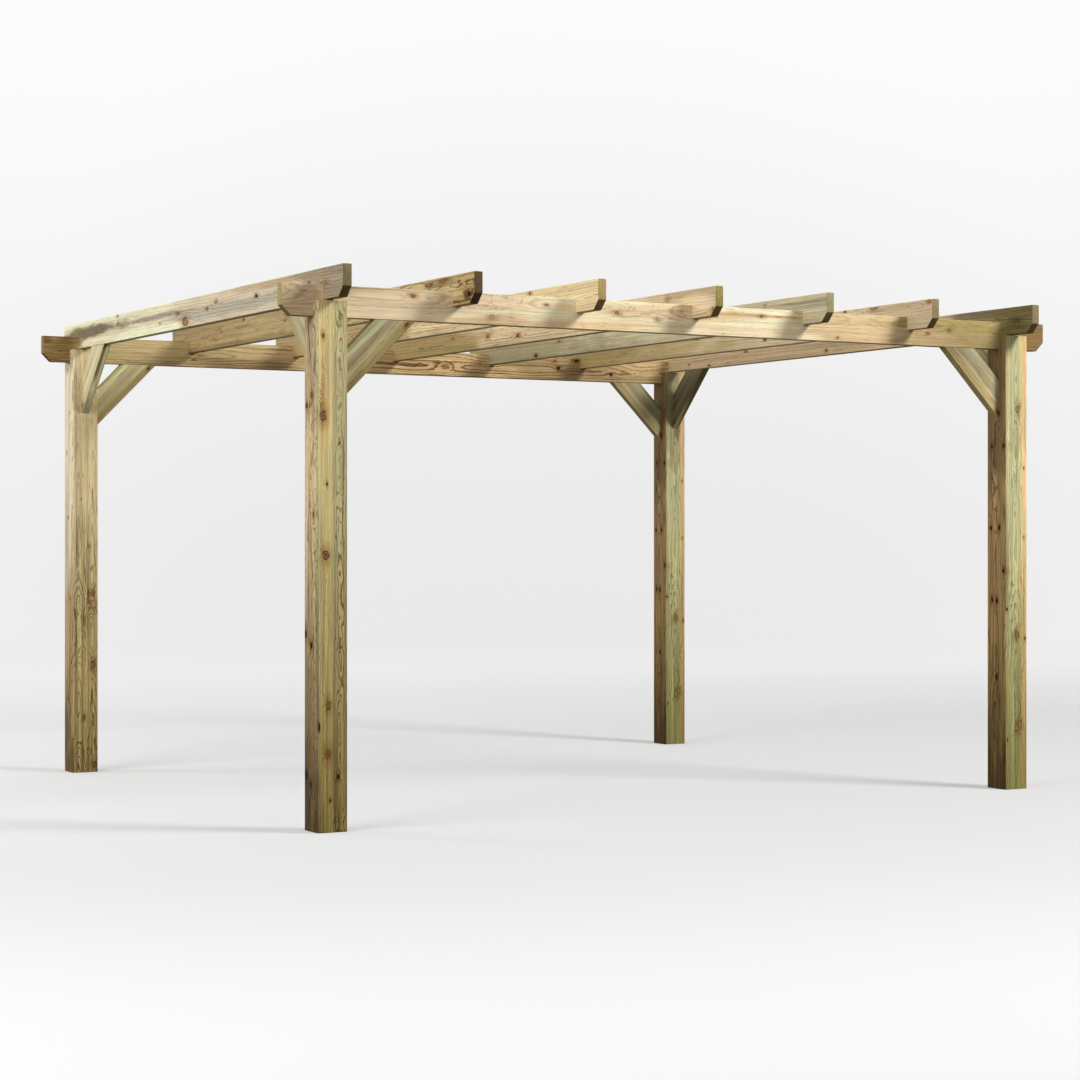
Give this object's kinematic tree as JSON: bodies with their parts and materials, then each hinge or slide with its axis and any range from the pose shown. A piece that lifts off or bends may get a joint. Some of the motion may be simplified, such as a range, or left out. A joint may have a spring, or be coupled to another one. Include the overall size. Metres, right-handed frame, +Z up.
{
  "type": "wooden garden pergola",
  "caption": "Open-roofed garden pergola of square posts forked round the beams, rafters notched across them and diagonal corner braces.",
  "frame": {"origin": "on the ground, midway between the four posts: the bounding box's bottom centre", "axes": "+X along the beams to the right, +Y along the rafters from the front beam to the back one, +Z up"},
  "size_m": [4.395, 3.77, 2.532],
  "materials": {
    "post_timber": "planed pressure-treated softwood, green-tinted",
    "beam_timber": "planed pressure-treated softwood, straw to pale brown",
    "rafter_timber": "planed pressure-treated softwood, olive to straw",
    "brace_timber": "planed pressure-treated softwood, grey-green"
  },
  "bodies": {
    "root": {"post_front_left": "post_timber", "post_front_right": "post_timber", "post_back_left": "post_timber", "post_back_right": "post_timber", "beam_front": "beam_timber", "beam_back": "beam_timber", "rafter_1": "rafter_timber", "rafter_2": "rafter_timber", "rafter_3": "rafter_timber", "rafter_4": "rafter_timber", "rafter_5": "rafter_timber", "rafter_6": "rafter_timber", "rafter_7": "rafter_timber", "brace_front_left_beam": "brace_timber", "brace_front_right_beam": "brace_timber", "brace_back_left_beam": "brace_timber", "brace_back_right_beam": "brace_timber", "brace_front_left_rafter": "brace_timber", "brace_front_right_rafter": "brace_timber", "brace_back_left_rafter": "brace_timber", "brace_back_right_rafter": "brace_timber"}
  },
  "joints": []
}
